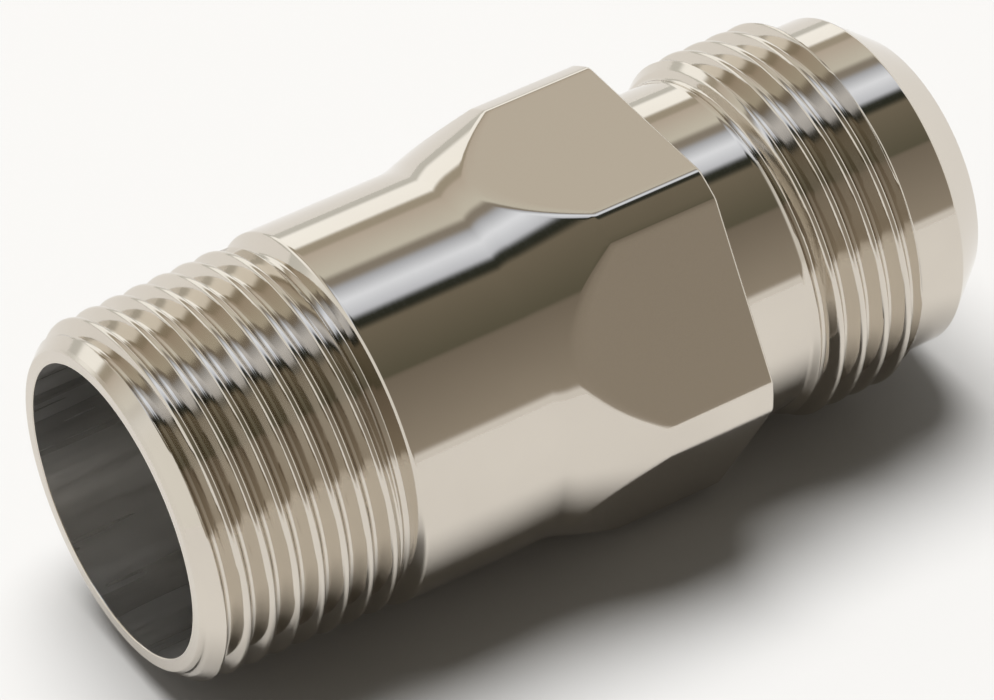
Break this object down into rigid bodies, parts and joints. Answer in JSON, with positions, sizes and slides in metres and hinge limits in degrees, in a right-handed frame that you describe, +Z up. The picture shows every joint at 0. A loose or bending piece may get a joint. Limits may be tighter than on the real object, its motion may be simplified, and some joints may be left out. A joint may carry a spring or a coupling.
{
  "type": "carbon dioxide diffuser",
  "caption": "Turned steel gas diffuser with a thread at both ends, a hexagon, a check valve inside and a porous bubbling cup in its open bore.",
  "frame": {"origin": "on the floor under the middle of the fitting, at the middle of the box's bottom face, on the plane of the hexagon's lower flat", "axes": "+X along the fitting's axis towards the coned nose where gas enters, +Z up from the hexagon flat it rests on"},
  "size_m": [0.08, 0.0386, 0.035],
  "materials": {
    "polished_steel": "turned and polished stainless steel",
    "plain_steel": "fine-turned stainless steel",
    "spring_steel": "satin spring steel",
    "sintered_steel": "porous sintered stainless steel, matt and granular",
    "turned_brass": "fine-turned brass",
    "black_rubber": "matt black rubber"
  },
  "bodies": {
    "fitting": {"body": "polished_steel", "rear_gasket": "black_rubber", "porous_cup": "sintered_steel", "front_gasket": "black_rubber", "thrust_washer": "plain_steel", "wave_washer": "spring_steel", "circlip": "spring_steel", "guide_snap_ring": "spring_steel", "stem_guide": "turned_brass", "spacer_sleeve": "turned_brass", "valve_seat": "turned_brass", "seat_o_ring": "black_rubber", "valve_spring": "spring_steel", "inlet_strainer": "plain_steel", "strainer_snap_ring": "spring_steel"},
    "poppet": {"poppet": "turned_brass", "poppet_seal": "black_rubber", "seal_screw": "plain_steel"}
  },
  "joints": [
    {"name": "poppet_lift", "type": "slide", "parent": "fitting", "child": "poppet", "axis": [-1, 0, 0], "range_m": [0, 0.0024], "stiffness_N_per_m": 150, "springref_m": -0.003, "deforming": ["valve_spring"]}
  ]
}
